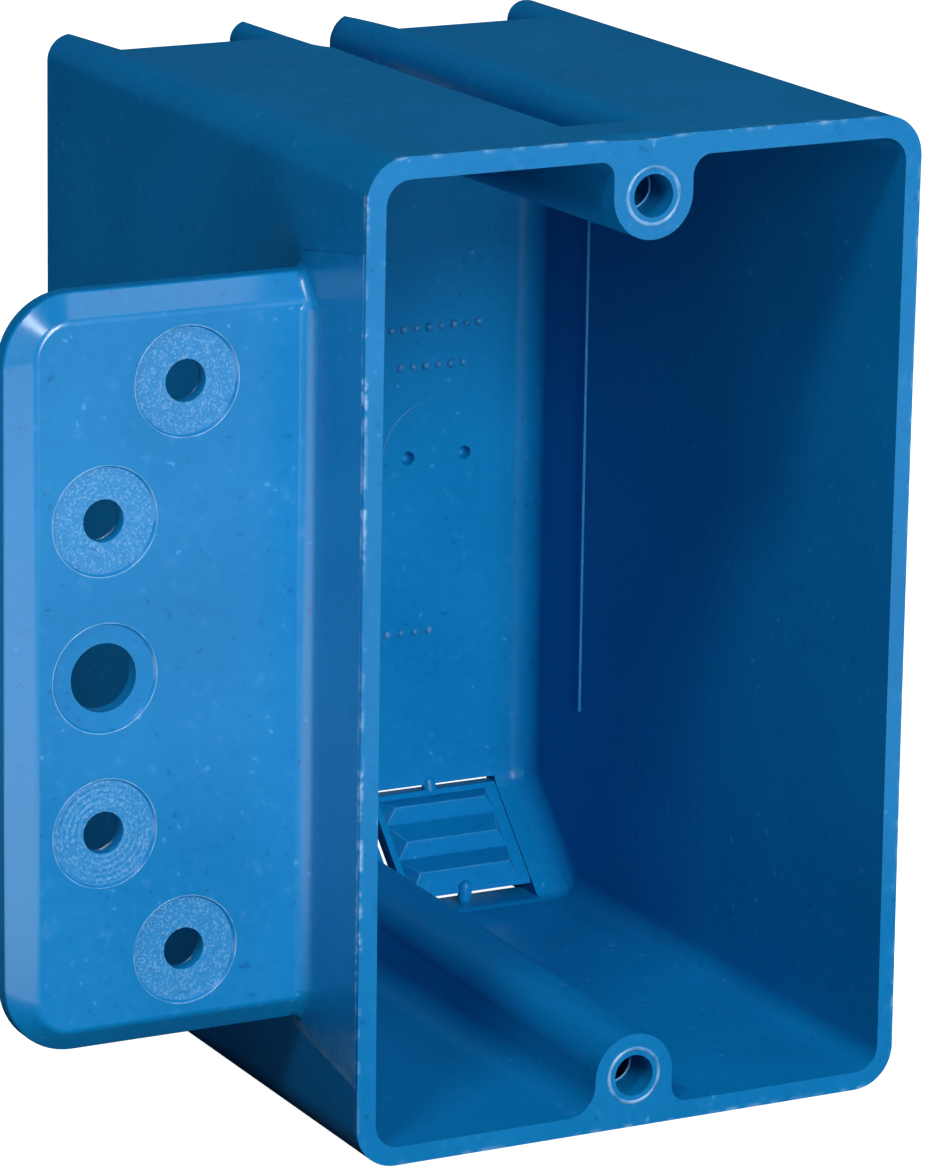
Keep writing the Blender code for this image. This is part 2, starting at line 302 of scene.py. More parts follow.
bms = []
for s in (1, -1):
    bm = loft_y([groove_ring(s, y, e) for y, e in GROOVE_EDGE])
    edge = abs(TOP if s > 0 else BOTTOM) - DRAFT_Z * GROOVE_FRONT
    cut_plane(bm, (0, GROOVE_FRONT, s * edge), (0, -1, s))
    bms.append(bm)
grooves = to_object("grooves", join(bms))
boolean(box, grooves, "DIFFERENCE")


# ---------------------------------------------------------------------- pockets
def pocket_ring(x0, x1, s, y):
    """Left wall square, right wall rolled over at the outer surface."""
    top = abs(TOP if s > 0 else BOTTOM) - DRAFT_Z * y
    left = x0 - POCKET_DRAFT * (y - 60.5)
    right = x1
    pts = [(left, 30.0), (left, top + 2.0), (right + EAR_R + 0.6, top + 2.0)]
    pts += list(reversed(arc(right + EAR_R, top - EAR_R, EAR_R, 180, 97, 12)))
    pts += [(right, 30.0)]
    return y, [(x, s * z) for x, z in pts]


bms = []
for s in (1, -1):
    for x0, x1 in POCKETS:
        bm = loft_y([pocket_ring(x0, x1, s, 55.0), pocket_ring(x0, x1, s, DEPTH + 4.0)])
        cut_plane(bm, (0, SLOPE_OUT - 40.0, s * 40.0), (0, -1, -s))
        bms.append(bm)
pockets = to_object("pockets", join(bms))
boolean(box, pockets, "DIFFERENCE")

# ------------------------------------------------------ openings round the flaps
bms = []
for s in (1, -1):
    for mid in FLAP_MID:
        outline = [(mid - OPEN_HALF_L, s * OPEN_Z0), (mid + OPEN_HALF_R, s * OPEN_Z0),
                   (mid + OPEN_HALF_R, s * OPEN_Z1), (mid - OPEN_HALF_L, s * OPEN_Z1)]
        bms.append(loft_y([(57.0, outline), (DEPTH + 4.0, outline)]))
openings = to_object("openings", join(bms))
boolean(box, openings, "DIFFERENCE")


# ------------------------------------------------------------ flange and its web
def flange_ring(y, inset, right=-27.9):
    r = max(FLANGE_R - 1.4 * inset, 1.0)
    left, top = FLANGE_LEFT + inset, FLANGE_TOP - inset
    pts = [(right, -top), (right, top)]
    pts += arc(left + r, top - r, r, 90, 180, 14)
    pts += arc(left + r, -top + r, r, 180, 270, 14)
    return y, pts


# chamfered front edge with eased creases: (depth behind the face, inset)
EDGE = [(0.0, 2.72), (0.018, 2.56), (0.07, 2.38), (0.155, 2.20), (0.27, 2.03),
        (1.82, 0.185), (1.93, 0.085), (2.06, 0.02), (2.2, 0.0)]
flange = to_object("flange", loft_y(
    [flange_ring(FLANGE_Y + d, inset) for d, inset in EDGE]
    + [flange_ring(FLANGE_BACK, 0.0)]))
recess = to_object("flange_recess", loft_y([
    flange_ring(FLANGE_Y + FLANGE_WALL, 2.7, -31.0),
    flange_ring(FLANGE_BACK + 1.0, 1.8, -31.0)]))
boolean(flange, recess, "DIFFERENCE")
boolean(box, flange, "UNION")

bm = bmesh.new()
for y, proud, z_hi, z_lo, run in ((RIM_Y + 0.5, -0.03, 37.8, -38.0, 0.8),
                                  (FLANGE_Y + 0.6, 0.62, 35.1, -35.1, 1.9),
                                  (FLANGE_BACK - 0.1, 0.45, 35.1, -35.1, 1.5)):
    wall = LEFT + DRAFT_X * y
    step = wall - 0.11 if proud > 0 else wall - 0.04
    for x, z in ((wall - proud, z_hi), (wall - proud, z_lo),
                 (step, z_hi + run), (step, z_lo - run),
                 (wall + 0.5, z_hi + run + 0.03), (wall + 0.5, z_lo - run - 0.03)):
        bm.verts.new(Vector((x, y, z)) * MM)
bmesh.ops.convex_hull(bm, input=bm.verts)
web = to_object("web", bm)
boolean(box, web, "UNION")

# concave fillet between the web and the flange, swept over its chamfered end:
# (y, z, angle of the outward normal, radius, lean of the wall), upper half
WALL_X = LEFT - 0.42
PATH = [(9.73, 0.0, 0, 1.6, 0.0), (9.73, 31.9, 0, 1.6, 0.0)]
PATH += [(9.73 + 0.02 * i, 32.0 + 0.10 * i, 6.6 * i, 1.6 - 0.03 * i, 0.01 * i)
         for i in range(1, 7)]
PATH += [(10.95, 34.2, 41, 1.35, 0.1), (11.35, 34.72, 50, 1.25, 0.15),
         (11.62, 34.93, 66, 1.0, 0.22), (11.95, 35.08, 84, 0.75, 0.28),
         (12.5, 35.12, 90, 0.55, 0.3), (13.1, 35.12, 90, 0.4, 0.3)]
rings = []
for s in (-1, 1):
    for y, z, angle, r, k in (reversed(PATH[1:]) if s < 0 else PATH):
        a = math.radians(angle)
        ny, nz = -math.cos(a), math.sin(a)
        deep = 0.35 if angle < 60 else 0.5
        qy, qz = y - ny * deep, z - nz * deep
        curve = [(WALL_X + 0.9, qy, qz), (WALL_X + 0.9, y + ny * (r + 0.1), z + nz * (r + 0.1))]
        for i in range(11):
            b = math.radians(90 * i / 10)
            w = r - r * math.sin(b) - 0.02
            curve.append((WALL_X - r + r * math.cos(b) + 0.02 + k * w,
                          y + ny * w, z + nz * w))
        curve.append((WALL_X - r, qy, qz))
        rings.append([(x, yy, s * zz) for x, yy, zz in curve])
fillet = bmesh.new()
add_loft(fillet, rings)
bmesh.ops.recalc_face_normals(fillet, faces=fillet.faces)

# ------------------------------------------------ round recesses, holes, screws
bms = [loft_y([(yy, arc(x, z, rr, 0, 360, 84)[:-1])
               for yy, rr in ((FLANGE_Y - 2.0, RECESS_R + 0.02), (FLANGE_Y, RECESS_R),
                              (FLANGE_Y + RECESS_DEPTH, RECESS_R - 0.20))])
       for x, z, r in FLANGE_HOLES]
rings_cut = to_object("ring_recesses", join(bms))
boolean(box, rings_cut, "DIFFERENCE")
bms = [cylinder_y(x, z, FLANGE_Y - 2.0, FLANGE_BACK + 2.0, r, 56)
       for x, z, r in FLANGE_HOLES]
bms += [cylinder_y(0.0, z, -2.0, SCREW_DEPTH + 1.5, SCREW_R, 56)
        for z in (SCREW_Z, -SCREW_Z)]
for x in DIMPLE_X:
    bms.append(loft_y([(BACK_INNER + d, arc(x, DIMPLE_Z, r, 0, 360, 40)[:-1])
                       for d, r in ((-1.0, 0.74), (0.0, 0.72), (0.35, 0.68), (0.7, 0.60),
                                    (0.95, 0.46), (1.1, 0.25))]))
holes = to_object("holes", join(bms))
boolean(box, holes, "DIFFERENCE")

body_mesh = applied(box, "outlet_box_body")


# ---------------------------------------------------------- edge rounding
def edge_width(p):
    """Width of the edge round in mm at a point in box coordinates."""
    x, y, z = p
    if y < RIM_Y + 0.02:                      # rim
        if math.hypot(x, abs(z) - SCREW_Z) < SCREW_R + 0.1:
            return 0.16
        return 0.17
    if x < -30.5:                              # flange
        return 0.10
    if y > 57.0 and 33.0 < abs(z) < 44.5 and abs(x) < 24.5:
        return 0.10                            # slit edges
    if y > 55.0:
        return 0.22
    return 0.16


def clean(bm):
    bmesh.ops.remove_doubles(bm, verts=bm.verts, dist=2e-6)
    bmesh.ops.dissolve_degenerate(bm, edges=bm.edges, dist=2e-6)


bm = bmesh.new()
bm.from_mesh(body_mesh)
clean(bm)
WIDEST = 0.25
layer = bm.edges.layers.float.new("bevel_weight_edge")
for e in bm.edges:
    if len(e.link_faces) == 2 and e.calc_face_angle() > math.radians(32):
        p = (e.verts[0].co + e.verts[1].co) / 2 / MM
        e[layer] = edge_width(p) / WIDEST
body = to_object("body", bm)
mod = body.modifiers.new("edges", "BEVEL")
mod.limit_method = "WEIGHT"
mod.width = WIDEST * MM
mod.segments = 2
mod.use_clamp_overlap = True
mod.miter_outer = "MITER_SHARP"
mesh = applied(body, "body_rounded")


# ------------------------------------------------------- slight warp of the walls
def smooth(a, b, v):
    t = min(max((v - a) / (b - a), 0.0), 1.0)
    return t * t * (3.0 - 2.0 * t)


def warp(p):
    """Sink and bow of the thin walls near the open front, in mm."""
    x, y, z = p
    bow = max(0.0, 1.0 - (z / 44.0) ** 2) / (1.0 + (y / 24.0) ** 2)
    dx = -0.17 * bow * smooth(14.0, 25.0, x)
    dx -= 0.15 * bow * smooth(-28.5, -27.4, x) * (1.0 - smooth(-26.3, -24.5, x))
    dz = 0.0
    if z > 45.5 and abs(x + 1.4) < 5.6:
        sink = math.cos((x + 1.4) / 5.6 * math.pi / 2) ** 2
        dz = -0.30 * sink * (1.0 - smooth(0.3, 2.2, y)) * smooth(46.3, 46.9, z)
    return dx, 0.0, dz


def slice_mesh(bm, co, no, keep=None):
    """Adds a line of vertices where a plane crosses the mesh."""
    faces = [f for f in bm.faces if keep is None or keep(f.calc_center_median() / MM)]
    edges = {e for f in faces for e in f.edges}
    verts = {v for f in faces for v in f.verts}
    bmesh.ops.bisect_plane(bm, geom=list(verts) + list(edges) + faces,
                           plane_co=Vector(co) * MM, plane_no=Vector(no), dist=1e-6)


bm = bmesh.new()
bm.from_mesh(mesh)
for z in range(-40, 41, 8):
    slice_mesh(bm, (0, 0, z), (0, 0, 1), lambda c: c.x > -30)
for x in (-7.0, -5.6, -4.2, -2.8, -1.4, 0.0, 1.4, 2.8, 4.2):
    slice_mesh(bm, (x, 0, 0), (1, 0, 0), lambda c: c.z > 44.5)
for y in (0.55, 1.1, 1.7, 2.3):
    slice_mesh(bm, (0, y, 0), (0, 1, 0), lambda c: c.z > 45.5)
for v in bm.verts:
    v.co += Vector(warp(v.co / MM)) * MM
bm.to_mesh(mesh)
bm.free()
print("GEOM body", len(body_mesh.polygons), "->", len(mesh.polygons))

# ------------------------------------------------------------- break-out flaps
FLAP_BASE = [(69.00, 34.50), (60.75, 42.75), (60.75, 43.18), (62.45, 43.30),
             (70.45, 35.30), (70.45, 34.50)]
# toothed ribs: crest, front foot and back foot of each wedge
RIBS = (((66.55, 35.10), (66.55, 36.95), (68.50, 34.90)),
        ((63.70, 37.96), (63.70, 39.80), (66.55, 36.95)),
        ((60.85, 40.45), (60.85, 42.90), (63.70, 39.80)))


def rounded_copy(bm, width, segments, angle=32, wide=None):
    """Bevels the sharp edges of a closed bmesh, in place."""
    edges = [e for e in bm.edges
             if len(e.link_faces) == 2 and e.calc_face_angle() > math.radians(angle)]
    bmesh.ops.bevel(bm, geom=edges, offset=width * MM, offset_type="OFFSET",
                    segments=segments, profile=0.5, affect="EDGES",
                    clamp_overlap=True)
    return bm


def flap_rib(mid, s, crest, foot, heel):
    """Wedge with leaning ends; its foot is sunk a little into the plate."""
    sink = 0.25
    x = (mid - 6.2, mid + 6.4, mid - 5.1, mid + 5.2)
    bm = bmesh.new()
    pts = []
    for xf, xc in ((x[0], x[2]), (x[1], x[3])):
        pts.append([(xf, heel[0] + sink, s * (heel[1] + sink)),
                    (xf, heel[0], s * heel[1]),
                    (xc, crest[0], s * crest[1]),
                    (xf, foot[0], s * foot[1]),
                    (xf, foot[0] + sink * 1.4, s * (foot[1] + 0.02))])
    add_loft(bm, pts)
    bmesh.ops.recalc_face_normals(bm, faces=bm.faces)
    return bm


def capsule(x, y, z0, z1, r, s, squash=1.0, lean=0.0):
    """Upright rod with round ends; its outer end comes forward by lean."""
    bm = bmesh.new()
    bmesh.ops.create_uvsphere(bm, u_segments=20, v_segments=12, radius=r * MM)
    half = (z1 - z0) / 2 - r
    for v in bm.verts:
        v.co.y *= squash
        v.co.z += (half if v.co.z > 0 else -half) * MM
        v.co.y -= lean * v.co.z * s
    bmesh.ops.translate(bm, verts=bm.verts,
                        vec=Vector((x, y, s * (z0 + z1) / 2)) * MM)
    return bm


islands = [fillet]
for s in (1, -1):
    for mid in FLAP_MID:
        plate = bmesh.new()
        add_loft(plate, [[(xx, y, s * z) for y, z in FLAP_BASE]
                         for xx in (mid - FLAP_HALF_L, mid + FLAP_HALF_R)])
        bmesh.ops.recalc_face_normals(plate, faces=plate.faces)
        islands.append(rounded_copy(plate, 0.07, 2))
        for crest, foot, heel in RIBS:
            islands.append(rounded_copy(flap_rib(mid, s, crest, foot, heel), 0.16, 2, 25))
        islands.append(capsule(mid + 0.15, 69.45, 32.95, 35.2, 0.75, s, 0.95, 0.25))
        islands.append(capsule(mid, 60.85, 41.9, 44.5, 0.75, s, 0.9, -0.1))


# ------------------------------------------------ raised lips round the screws
def ring_bead(x, y, z, radius, wire, sides=72, around=10):
    bm = bmesh.new()
    rows = []
    for i in range(sides):
        a = math.tau * i / sides
        row = []
        for j in range(around):
            b = math.tau * j / around
            rr = radius + wire * math.cos(b)
            row.append(bm.verts.new(Vector((
                x + rr * math.cos(a), y + wire * 0.8 * math.sin(b),
                z + rr * math.sin(a))) * MM))
        rows.append(row)
    for i in range(sides):
        for j in range(around):
            a, b = rows[i], rows[(i + 1) % sides]
            k = (j + 1) % around
            bm.faces.new((a[j], a[k], b[k], b[j]))
    bmesh.ops.recalc_face_normals(bm, faces=bm.faces)
    return bm


for z in (SCREW_Z, -SCREW_Z):
    islands.append(ring_bead(0.0, RIM_Y + 0.07, z, 2.62, 0.21))
    islands.append(ring_bead(0.0, SCREW_DEPTH - 0.2, z, SCREW_R - 0.02, 0.13))
for x, z, r in FLANGE_HOLES:                      # thin lips round the recesses
    islands.append(ring_bead(x, FLANGE_Y + 0.03, z, RECESS_R + 0.02, 0.06, 96, 8))

# --------------------------------------------- small moulded marks in the cavity
x_wall = IN_RIGHT - DRAFT_X * 58.5
rib = loft_y([(yy, [(x_wall - 0.26 + d, -24.7), (x_wall + 0.6, -24.7),
                    (x_wall + 0.6, 26.7), (x_wall - 0.26 + d, 26.7)])
              for yy, d in ((58.25, 0.15), (58.35, 0.0), (58.55, 0.0), (58.7, 0.15))])
bmesh.ops.recalc_face_normals(rib, faces=rib.faces)
islands.append(rib)


def bead_line(points, y, wire, flat=0.6):
    """Low raised line along (x, z) points on the back wall, fading at its ends."""
    bm = bmesh.new()
    rows = []
    n = len(points)
    for i, (x, z) in enumerate(points):
        x0, z0 = points[max(i - 1, 0)]
        x1, z1 = points[min(i + 1, n - 1)]
        d = math.hypot(x1 - x0, z1 - z0)
        tx, tz = (x1 - x0) / d, (z1 - z0) / d
        t = i / (n - 1)
        w = wire * min(1.0, 0.25 + 5.0 * t, 0.25 + 5.0 * (1 - t))
        rows.append([bm.verts.new(Vector((x - tz * w * math.cos(b), y - flat * w * math.sin(b),
                                          z + tx * w * math.cos(b))) * MM)
                     for b in (math.tau * j / 10 for j in range(10))])
    for a, b in zip(rows, rows[1:]):
        for j in range(10):
            k = (j + 1) % 10
            bm.faces.new((a[j], a[k], b[k], b[j]))
    bm.faces.new(rows[0])
    bm.faces.new(list(reversed(rows[-1])))
    bmesh.ops.recalc_face_normals(bm, faces=bm.faces)
    return bm


def dot(x, z, r, y=BACK_INNER, flat=0.55):
    """Low round pimple on the back wall."""
    bm = bmesh.new()
    bmesh.ops.create_uvsphere(bm, u_segments=14, v_segments=8, radius=r * MM)
    for v in bm.verts:
        v.co.y *= flat
    bmesh.ops.translate(bm, verts=bm.verts, vec=Vector((x, y, z)) * MM)
    return bm


# plain mould marks: part of a ring round the dimples, and rows of dots
ring_c = (sum(DIMPLE_X) / 2 + 0.3, 0.25)
islands.append(bead_line([(ring_c[0] + 6.57 * math.cos(math.radians(a)),
                           ring_c[1] + 6.57 * math.sin(math.radians(a)))
                          for a in range(99, 206, 3)], BACK_INNER, 0.10, 0.8))
islands.append(dot(13.3, 7.35, 0.16))
islands.append(bead_line([(14.95, 27.5), (14.82, 27.0), (14.65, 26.5)], BACK_INNER, 0.10, 0.9))
for i in range(8):
    islands.append(dot(9.1 + 1.42 * i, 14.2 + 0.02 * i, 0.46 if i % 2 else 0.36, flat=0.9))
for i in range(6):
    islands.append(dot(10.2 + 1.42 * i, 10.3, 0.46 if i % 2 == 0 else 0.36, flat=0.9))
for i in range(4):
    islands.append(dot(9.0 + 1.6 * i, -17.5, 0.40, flat=0.7))
for x, z, r in ((9.07, -13.06, 0.13), (21.96, -13.32, 0.14), (13.55, -21.92, 0.16),
                (21.2, -31.0, 0.15), (18.0, -30.0, 0.10), (11.0, 22.0, 0.10),
                (19.6, 20.0, 0.09), (21.0, 3.0, 0.10)):
    islands.append(dot(x, z, r))
extra = join(islands)
extra_mesh = bpy.data.meshes.new("extra")
extra.to_mesh(extra_mesh)
extra.free()
whole = bmesh.new()
whole.from_mesh(mesh)
whole.from_mesh(extra_mesh)
whole.to_mesh(mesh)
whole.free()
bpy.data.meshes.remove(extra_mesh)

piece = bpy.data.objects.new("outlet_box_moulding", mesh)
bpy.context.scene.collection.objects.link(piece)
piece.location = OFFSET * MM
for o in list(work.objects):
    bpy.data.objects.remove(o, do_unlink=True)
bpy.context.view_layer.update()
piece.data.transform(Matrix.Translation(OFFSET * MM))
piece.location = (0, 0, 0)
mesh.shade_smooth()
mesh.set_sharp_from_angle(angle=math.radians(50))
bm = bmesh.new()
bm.from_mesh(mesh)
for e in bm.edges:
    if len(e.link_faces) == 2 and e.calc_face_angle_signed(0.0) < math.radians(-18):
        e.smooth = False
bm.to_mesh(mesh)
bm.free()
wn = piece.modifiers.new("normals", "WEIGHTED_NORMAL")
wn.keep_sharp = True
wn.weight = 50

# ------------------------------------------------------------------------ masks
# red: whitened edges, partly wear and partly painted highlight, green: spark texture, blue:
# turned texture, alpha: matt inside
def paint_masks(mesh):
    bm = bmesh.new()
    bm.from_mesh(mesh)
    wear_and_highlight = [0.0] * len(bm.verts)
    bm.verts.ensure_lookup_table()
    for v in bm.verts:
        x, y, z = (v.co / MM) - OFFSET
        # convex bevel edges are whitened: partly wear, partly a painted edge highlight,
        # strongest on the left rim edge
        for e in v.link_edges:
            if len(e.link_faces) != 2:
                continue
            a = e.calc_face_angle_signed(0.0)
            if math.radians(30) < a < math.radians(62) and e.calc_length() > 0.00012:
                amount = 0.45 if y < 50.0 else 0.10
                if y < 0.6:
                    amount = 1.0 if x < -28.2 else 0.7
                elif x < -30.0:
                    amount = 0.6
                wear_and_highlight[v.index] = max(wear_and_highlight[v.index], amount)
        # painted highlight: the raised dots in these rows are whitened a little, standing in for
        # their glints
        if BACK_INNER - 1.0 < y < BACK_INNER - 0.06 and (9.0 < z < 16.0 or -19.0 < z < -16.0) \
                and 7.0 < x < 21.0:
            wear_and_highlight[v.index] = 0.2
    bm.free()
    layer = mesh.color_attributes.new("masks", "FLOAT_COLOR", "CORNER")
    data = np.zeros((len(mesh.loops), 4), dtype=np.float32)
    data[:, 3] = 0.0
    index = np.empty(len(mesh.loops), dtype=np.int32)
    mesh.loops.foreach_get("vertex_index", index)
    data[:, 0] = np.array(wear_and_highlight, dtype=np.float32)[index]
    floor_y = FLANGE_Y + RECESS_DEPTH
    for poly in mesh.polygons:
        c = (poly.center / MM) - OFFSET
        if c.y > 0.7 and IN_LEFT - 0.3 < c.x < IN_RIGHT + 0.3 and c.y < BACK_INNER + 1.2 \
                and abs(c.z) < IN_BOTTOM * -1 + 0.3 and c.y + abs(c.z) < SLOPE_IN + 1.5:
            for i in poly.loop_indices:
                data[i, 3] = 1.0
        if c.x > -35.0 or abs(poly.normal.y) < 0.98 or abs(c.y - floor_y) > 0.06:
            continue
        co = (mesh.vertices[poly.vertices[0]].co / MM) - OFFSET
        for hx, hz, r in FLANGE_HOLES:
            if r < 3.0 and math.hypot(co.x - hx, co.z - hz) < RECESS_R:
                turned = 1.0 if (hx, hz) == (-49.6, -14.45) else 0.0
                for i in poly.loop_indices:
                    data[i, 1] = 1.0
                    data[i, 2] = turned
    layer.data.foreach_set("color", data.ravel())


paint_masks(mesh)


# --------------------------------------------------------------------- material
pvc = bpy.data.materials.new("blue_pvc_satin")
pvc.use_nodes = True
nodes, links = pvc.node_tree.nodes, pvc.node_tree.links
shader = nodes["Principled BSDF"]
shader.inputs["IOR"].default_value = 1.52
shader.inputs["Coat Roughness"].default_value = 0.20


def put(socket, value):
    if isinstance(value, bpy.types.NodeSocket):
        links.new(value, socket)
    elif value is not None:
        socket.default_value = value


def math_node(op, a, b=None, c=None, clamp=False):
    n = nodes.new("ShaderNodeMath")
    n.operation = op
    n.use_clamp = clamp
    for i, v in enumerate((a, b, c)):
        put(n.inputs[i], v)
    return n.outputs[0]


def mapped(value, a, b, c=0.0, d=1.0, soft=False):
    n = nodes.new("ShaderNodeMapRange")
    n.interpolation_type = "SMOOTHSTEP" if soft else "LINEAR"
    for i, v in enumerate((value, a, b, c, d)):
        put(n.inputs[i], v)
    return n.outputs[0]


def noise(scale, detail=2.0, rough=0.5, vector=None):
    n = nodes.new("ShaderNodeTexNoise")
    put(n.inputs["Vector"], vector or coords)
    n.inputs["Scale"].default_value = scale
    n.inputs["Detail"].default_value = detail
    n.inputs["Roughness"].default_value = rough
    return n.outputs[0]


def mixed(fac, a, b):
    n = nodes.new("ShaderNodeMix")
    n.data_type = "RGBA"
    put(n.inputs[0], fac)
    put(n.inputs[6], a)
    put(n.inputs[7], b)
    return n.outputs[2]


coords = nodes.new("ShaderNodeTexCoord").outputs["Object"]
split = nodes.new("ShaderNodeSeparateXYZ")
links.new(coords, split.inputs[0])
px, py, pz = split.outputs
mask = nodes.new("ShaderNodeVertexColor")
mask.layer_name = "masks"
channel = nodes.new("ShaderNodeSeparateColor")
links.new(mask.outputs["Color"], channel.inputs[0])
wear_and_highlight, spark, turned = channel.outputs[0], channel.outputs[1], channel.outputs[2]
matt = mask.outputs["Alpha"]

cloud = noise(85.0, 0.0)
spots = noise(1150.0, 1.0, 0.45)
grain = noise(4600.0, 0.0)
patches = noise(560.0, 2.0, 0.62)
scuff = mapped(patches, 0.60, 0.76, soft=True)

# colour: a mix of two close blues, then spots, scuffs, and edges whitened partly as wear and
# partly as painted highlight
tone = math_node("MULTIPLY_ADD", cloud, 0.9, 0.05)
tone = math_node("ADD", tone, mapped(spots, 0.2, 0.8, -0.20, 0.20), clamp=True)
colour = mixed(tone, (0.0006, 0.151, 0.392, 1.0), (0.0012, 0.189, 0.466, 1.0))
light = mapped(spots, 0.735, 0.795, soft=True)
colour = mixed(math_node("MULTIPLY", light, 0.35), colour, (0.10, 0.36, 0.66, 1.0))
dark = mapped(spots, 0.275, 0.225, soft=True)
colour = mixed(math_node("MULTIPLY", dark, 0.45), colour, (0.001, 0.085, 0.26, 1.0))
colour = mixed(math_node("MULTIPLY", scuff, 0.07), colour, (0.10, 0.36, 0.64, 1.0))

# rim: distance from the outer edge, whitened in irregular patches: partly wear, partly a painted
# edge highlight
def mm(v):
    return v * MM


west = math_node("SUBTRACT", px, mm(LEFT + OFFSET.x))
east = math_node("SUBTRACT", mm(RIGHT + OFFSET.x), px)
south = math_node("SUBTRACT", pz, mm(BOTTOM + OFFSET.z))
north = math_node("SUBTRACT", mm(TOP + OFFSET.z), pz)
side = math_node("MINIMUM", math_node("MINIMUM", west, east), math_node("MINIMUM", south, north))
near = mapped(side, mm(0.42), mm(0.10))
at_rim = mapped(py, mm(0.9 + OFFSET.y), mm(0.5 + OFFSET.y))
ragged = mapped(patches, 0.48, 0.62)
long_gaps = mapped(cloud, 0.35, 0.60)
# the rim whitening is stronger near the left outer edge: more wear and more painted highlight
# there
left_more = mapped(west, mm(4.0), mm(1.0), 0.55, 1.0)
rim_wear_and_highlight = math_node("MULTIPLY", math_node("MULTIPLY", near, at_rim),
                     math_node("MULTIPLY", ragged, long_gaps))
rim_wear_and_highlight = math_node("MULTIPLY", rim_wear_and_highlight, math_node("MULTIPLY", left_more, 0.80))
# bevelled edges whitened by the mask: partly wear, partly a painted edge highlight
edge = math_node("MULTIPLY", wear_and_highlight, mapped(patches, 0.32, 0.62, 0.12, 0.75))
whiten_wear_and_highlight = math_node("MAXIMUM", edge, rim_wear_and_highlight, clamp=True)
colour = mixed(whiten_wear_and_highlight, colour, (0.34, 0.56, 0.80, 1.0))

# spark texture in the ring recesses: a paler tint, with pale specks painted in as glints
# (painted highlight)
painted_glint_specks = mapped(grain, 0.50, 0.78)
colour = mixed(math_node("MULTIPLY", spark, 0.25), colour, (0.045, 0.27, 0.57, 1.0))
colour = mixed(math_node("MULTIPLY", math_node("MULTIPLY", spark, painted_glint_specks), 0.17),
               colour, (0.50, 0.70, 0.88, 1.0))
links.new(colour, shader.inputs["Base Color"])

gloss = math_node("ADD", mapped(cloud, 0.2, 0.8, 0.285, 0.345),
                  mapped(spots, 0.2, 0.8, -0.03, 0.03))
gloss = math_node("MULTIPLY_ADD", scuff, 0.08, gloss)
gloss = math_node("MULTIPLY_ADD", whiten_wear_and_highlight, 0.12, gloss)
gloss = math_node("MULTIPLY_ADD", spark, 0.10, gloss)
gloss = math_node("MULTIPLY_ADD", matt, 0.07, gloss)
links.new(gloss, shader.inputs["Roughness"])
links.new(math_node("MULTIPLY_ADD", matt, -0.36, 0.50, clamp=True),
          shader.inputs["Specular IOR Level"])
links.new(math_node("MULTIPLY_ADD", matt, -0.29, 0.38, clamp=True),
          shader.inputs["Coat Weight"])


# relief in metres: slow waves, moulded grain, spark and turned textures
hx, hz = mm(-49.6 + OFFSET.x), mm(-14.45 + OFFSET.z)
ring = math_node("SQRT", math_node("ADD", math_node("POWER", math_node("SUBTRACT", px, hx), 2.0),
                                   math_node("POWER", math_node("SUBTRACT", pz, hz), 2.0)))
turn = math_node("SINE", math_node("MULTIPLY", ring, math.tau / mm(0.55)))
height = math_node("MULTIPLY", cloud, 0.000035)
height = math_node("MULTIPLY_ADD", grain,
                   math_node("MULTIPLY_ADD", spark, 0.000022, 0.0000028), height)
height = math_node("MULTIPLY_ADD", math_node("MULTIPLY", turn, turned), 0.000012, height)
relief = nodes.new("ShaderNodeBump")
relief.inputs["Strength"].default_value = 1.0
relief.inputs["Distance"].default_value = 1.0
links.new(height, relief.inputs["Height"])
links.new(relief.outputs[0], shader.inputs["Normal"])
mesh.materials.clear()
mesh.materials.append(pvc)

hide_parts("outlet_box")
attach(piece, "root")

# ------------------------------------------------------------ floor and camera
floor_mesh = bpy.data.meshes.new("floor")
fb = bmesh.new()
bmesh.ops.create_grid(fb, x_segments=1, y_segments=1, size=3.0)
fb.to_mesh(floor_mesh)
fb.free()
floor = bpy.data.objects.new("floor", floor_mesh)
bpy.context.scene.collection.objects.link(floor)
floor.location = (0, 0, -0.0002)
floor_mat = bpy.data.materials.new("pale_floor")
floor_mat.use_nodes = True
ft = floor_mat.node_tree
fs = ft.nodes["Principled BSDF"]
fs.inputs["Base Color"].default_value = (0.9, 0.9, 0.9, 1.0)
fs.inputs["Roughness"].default_value = 0.9
fs.inputs["Specular IOR Level"].default_value = 0.1
glow = ft.nodes.new("ShaderNodeEmission")          # overexposed white paper
glow.inputs["Strength"].default_value = 0.98
both = ft.nodes.new("ShaderNodeAddShader")
seen = ft.nodes.new("ShaderNodeLightPath")
choose = ft.nodes.new("ShaderNodeMixShader")
ft.links.new(fs.outputs[0], both.inputs[0])
ft.links.new(glow.outputs[0], both.inputs[1])
dim = ft.nodes.new("ShaderNodeBsdfDiffuse")
dim.inputs["Color"].default_value = (0.02, 0.02, 0.02, 1.0)
ft.links.new(seen.outputs["Is Camera Ray"], choose.inputs[0])
ft.links.new(dim.outputs[0], choose.inputs[1])
ft.links.new(both.outputs[0], choose.inputs[2])
ft.links.new(choose.outputs[0], ft.nodes["Material Output"].inputs["Surface"])
floor_mesh.materials.append(floor_mat)

cam_data = bpy.data.cameras.new("camera")
cam_data.sensor_width = 36.0
cam_data.sensor_fit = "AUTO"
cam_data.lens = 198.706
cam_data.clip_start = 0.01
cam_data.clip_end = 20.0
cam = bpy.data.objects.new("camera", cam_data)
bpy.context.scene.collection.objects.link(cam)
cam.location = (-0.264694, -0.530853, 0.203164)
cam.rotation_mode = "QUATERNION"
cam.rotation_quaternion = (0.7709358, 0.5905852, -0.1509345, -0.1846236)
bpy.context.scene.camera = cam

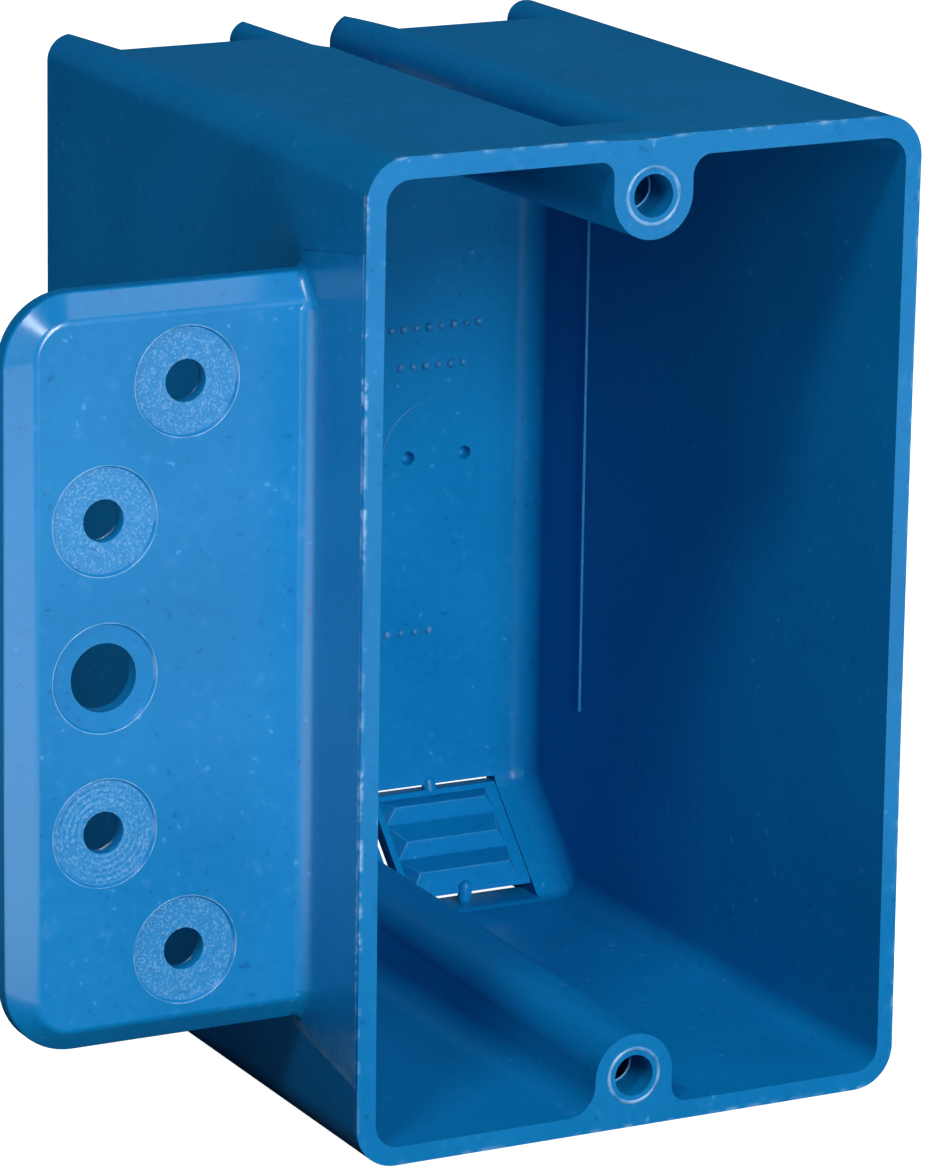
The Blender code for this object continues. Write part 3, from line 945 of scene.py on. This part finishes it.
# ----------------------------------------------------------------------- light
scene = bpy.context.scene
scene.view_settings.view_transform = "Standard"
world = bpy.data.worlds.new("studio")
world.use_nodes = True
tree = world.node_tree
bg = tree.nodes["Background"]
bg.inputs["Color"].default_value = (0.10, 0.55, 1.0, 1.0)
bg.inputs["Strength"].default_value = 0.13
sweep = tree.nodes.new("ShaderNodeBackground")     # white paper sweep, as seen
sweep.inputs["Color"].default_value = (1.0, 1.0, 1.0, 1.0)
sweep.inputs["Strength"].default_value = 1.1
path = tree.nodes.new("ShaderNodeLightPath")
pick = tree.nodes.new("ShaderNodeMixShader")
tree.links.new(path.outputs["Is Camera Ray"], pick.inputs[0])
tree.links.new(bg.outputs[0], pick.inputs[1])
tree.links.new(sweep.outputs[0], pick.inputs[2])
tree.links.new(pick.outputs[0], tree.nodes["World Output"].inputs["Surface"])
scene.world = world


def area(name, az, el, dist, sx, sy, power, target=(0.0, 0.0, 0.045)):
    """Softbox seen from the object at azimuth az (0 = front, + = right)."""
    data = bpy.data.lights.new(name, "AREA")
    data.shape = "RECTANGLE"
    data.size, data.size_y = sx, sy
    data.energy = power
    obj = bpy.data.objects.new(name, data)
    bpy.context.scene.collection.objects.link(obj)
    a, e = math.radians(az), math.radians(el)
    d = Vector((math.sin(a) * math.cos(e), -math.cos(a) * math.cos(e), math.sin(e)))
    obj.location = Vector(target) + d * dist
    obj.rotation_euler = (-d).to_track_quat("-Z", "Y").to_euler()
    obj.visible_camera = False
    return obj


def floor_card(name, az, dist, length, width, power):
    """White card of light lying on the floor beside the part."""
    data = bpy.data.lights.new(name, "AREA")
    data.shape = "RECTANGLE"
    data.size, data.size_y = length, width
    data.energy = power
    obj = bpy.data.objects.new(name, data)
    bpy.context.scene.collection.objects.link(obj)
    a = math.radians(az)
    obj.location = (dist * math.sin(a), -dist * math.cos(a), 0.001)
    obj.rotation_euler = (math.pi, 0.0, a - math.pi / 2)
    obj.visible_camera = False
    return obj


area("key_high", 0, 26, 1.4, 0.32, 0.34, 12.6)
area("key_low", 0, 7, 1.4, 0.30, 0.30, 7.0)
area("left_hot", -50, 47, 1.4, 0.24, 0.24, 4.5)
area("left_strip", -60, 16, 1.4, 0.22, 0.95, 0.8)
area("top_strip", 0, 78, 1.4, 1.2, 0.22, 0.35)
area("top_right", 52, 56, 1.4, 0.38, 0.38, 1.0)
floor_card("left_card", -64, 0.26, 0.34, 0.22, 0.46)
floor_card("right_card", 27, 0.30, 0.34, 0.22, 0.10)
area("back", 164, 0, 1.4, 0.5, 0.08, 4.0)
area("right", 96, 0, 1.4, 0.6, 0.08, 3.5)
area("under", 20, -60, 1.4, 0.8, 0.8, 6.0)        # behind the floor, for views from below


bpy.context.view_layer.update()
